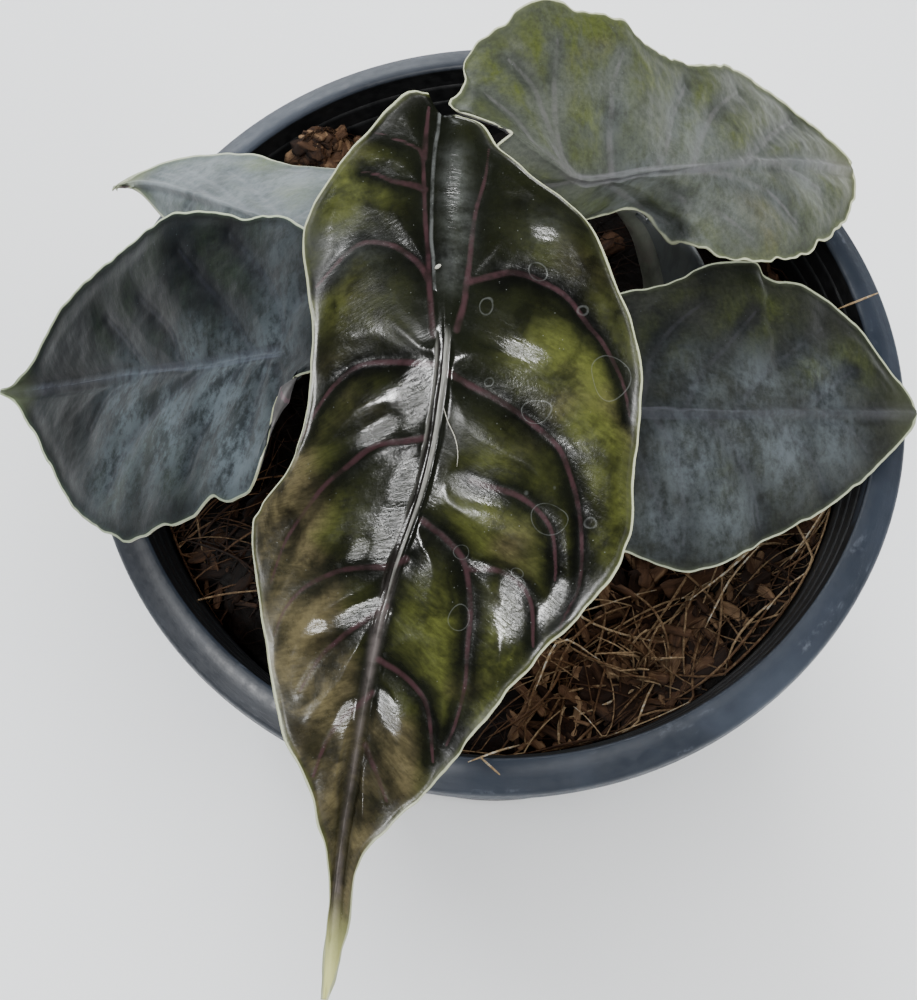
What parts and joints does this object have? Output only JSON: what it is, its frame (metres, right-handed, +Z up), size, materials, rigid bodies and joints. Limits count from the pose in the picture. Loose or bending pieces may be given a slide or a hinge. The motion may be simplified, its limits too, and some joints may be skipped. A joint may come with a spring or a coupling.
{
  "type": "potted alocasia plant",
  "caption": "Potted alocasia with broad quilted, dark glossy leaves on slim petioles, in a round tapered nursery pot filled with coconut husk.",
  "frame": {"origin": "centre of the pot's flat base, on the surface that it stands on", "axes": "+Z up along the pot's axis; the large front leaf points towards -Y; +X is to the right as seen from the front"},
  "size_m": [0.1766, 0.2023, 0.2183],
  "materials": {
    "pot_plastic": "matte black moulded plastic with scuffs and dust",
    "coconut_husk": "coarse reddish brown coconut husk fibre and chips",
    "rhizome_bark": "dull brown stem base with ringed scars",
    "petiole_skin": "smooth grey-green stalk",
    "leaf_dark_green": "glossy, quilted, near black green with olive patches and pink veins",
    "leaf_blue_grey": "satin blue-grey with a dusty bloom",
    "leaf_silver": "satin pale silver grey",
    "leaf_grey_green": "satin grey-green with olive streaks",
    "leaf_olive_grey": "satin grey-brown green, dusty lower half"
  },
  "bodies": {
    "root": {"pot": "pot_plastic", "substrate": "coconut_husk", "rhizome": "rhizome_bark", "front_petiole": "petiole_skin", "left_petiole": "petiole_skin", "back_left_petiole": "petiole_skin", "back_right_petiole": "petiole_skin", "right_petiole": "petiole_skin", "front_blade": "leaf_dark_green", "left_blade": "leaf_blue_grey", "back_left_blade": "leaf_silver", "back_right_blade": "leaf_grey_green", "right_blade": "leaf_olive_grey"}
  },
  "joints": []
}
